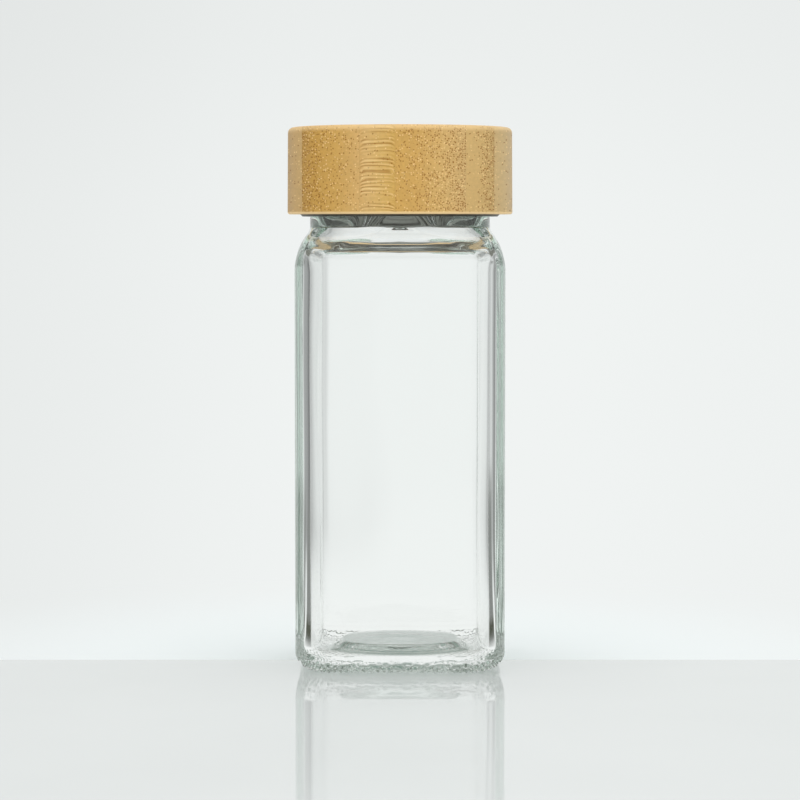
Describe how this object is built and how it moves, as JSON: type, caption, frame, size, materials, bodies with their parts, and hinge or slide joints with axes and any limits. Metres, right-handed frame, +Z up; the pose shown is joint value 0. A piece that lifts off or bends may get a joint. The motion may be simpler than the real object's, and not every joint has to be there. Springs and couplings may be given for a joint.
{
  "type": "spice jar",
  "caption": "Square clear-glass spice jar with rounded corners, a domed shoulder, a threaded neck and a round screw cap of laminated bamboo with a plastic liner and a sealing disc.",
  "frame": {"origin": "centre of the jar's footprint on the surface that it stands on", "axes": "+Z up along the jar's and the cap's axis, -Y towards the front that the picture shows, +X to the right"},
  "size_m": [0.0461, 0.046, 0.11],
  "materials": {
    "glass": "clear, polished, faint green in its thickness",
    "liner": "dark satin moulded plastic",
    "seal": "white closed-cell foam",
    "bamboo_pale": "fine-sanded, lightly oiled",
    "bamboo_gold": "fine-sanded, lightly oiled, with fibre ends",
    "bamboo_node": "fine-sanded, lightly oiled, wavy grain of a bamboo node"
  },
  "bodies": {
    "jar": {"glass_jar": "glass"},
    "seal": {"seal_disc": "seal"},
    "lid": {"threaded_liner": "liner", "bamboo_strip_1": "bamboo_pale", "bamboo_strip_2": "bamboo_gold", "bamboo_strip_3": "bamboo_node", "bamboo_strip_4": "bamboo_gold", "bamboo_strip_5": "bamboo_pale", "bamboo_strip_6": "bamboo_pale"}
  },
  "joints": [
    {"name": "lid_lift", "type": "slide", "parent": "jar", "child": "seal", "axis": [0, 0, 1], "range_m": [0, 0.021]},
    {"name": "lid_turn", "type": "hinge", "parent": "seal", "child": "lid", "pos_m": [0, 0, 0.105], "axis": [0, 0, 1], "range_deg": [0, 1800]}
  ],
  "couplings": [
    {"joint": "lid_lift", "follows": "lid_turn", "m_per_rad": 0.00066845}
  ]
}
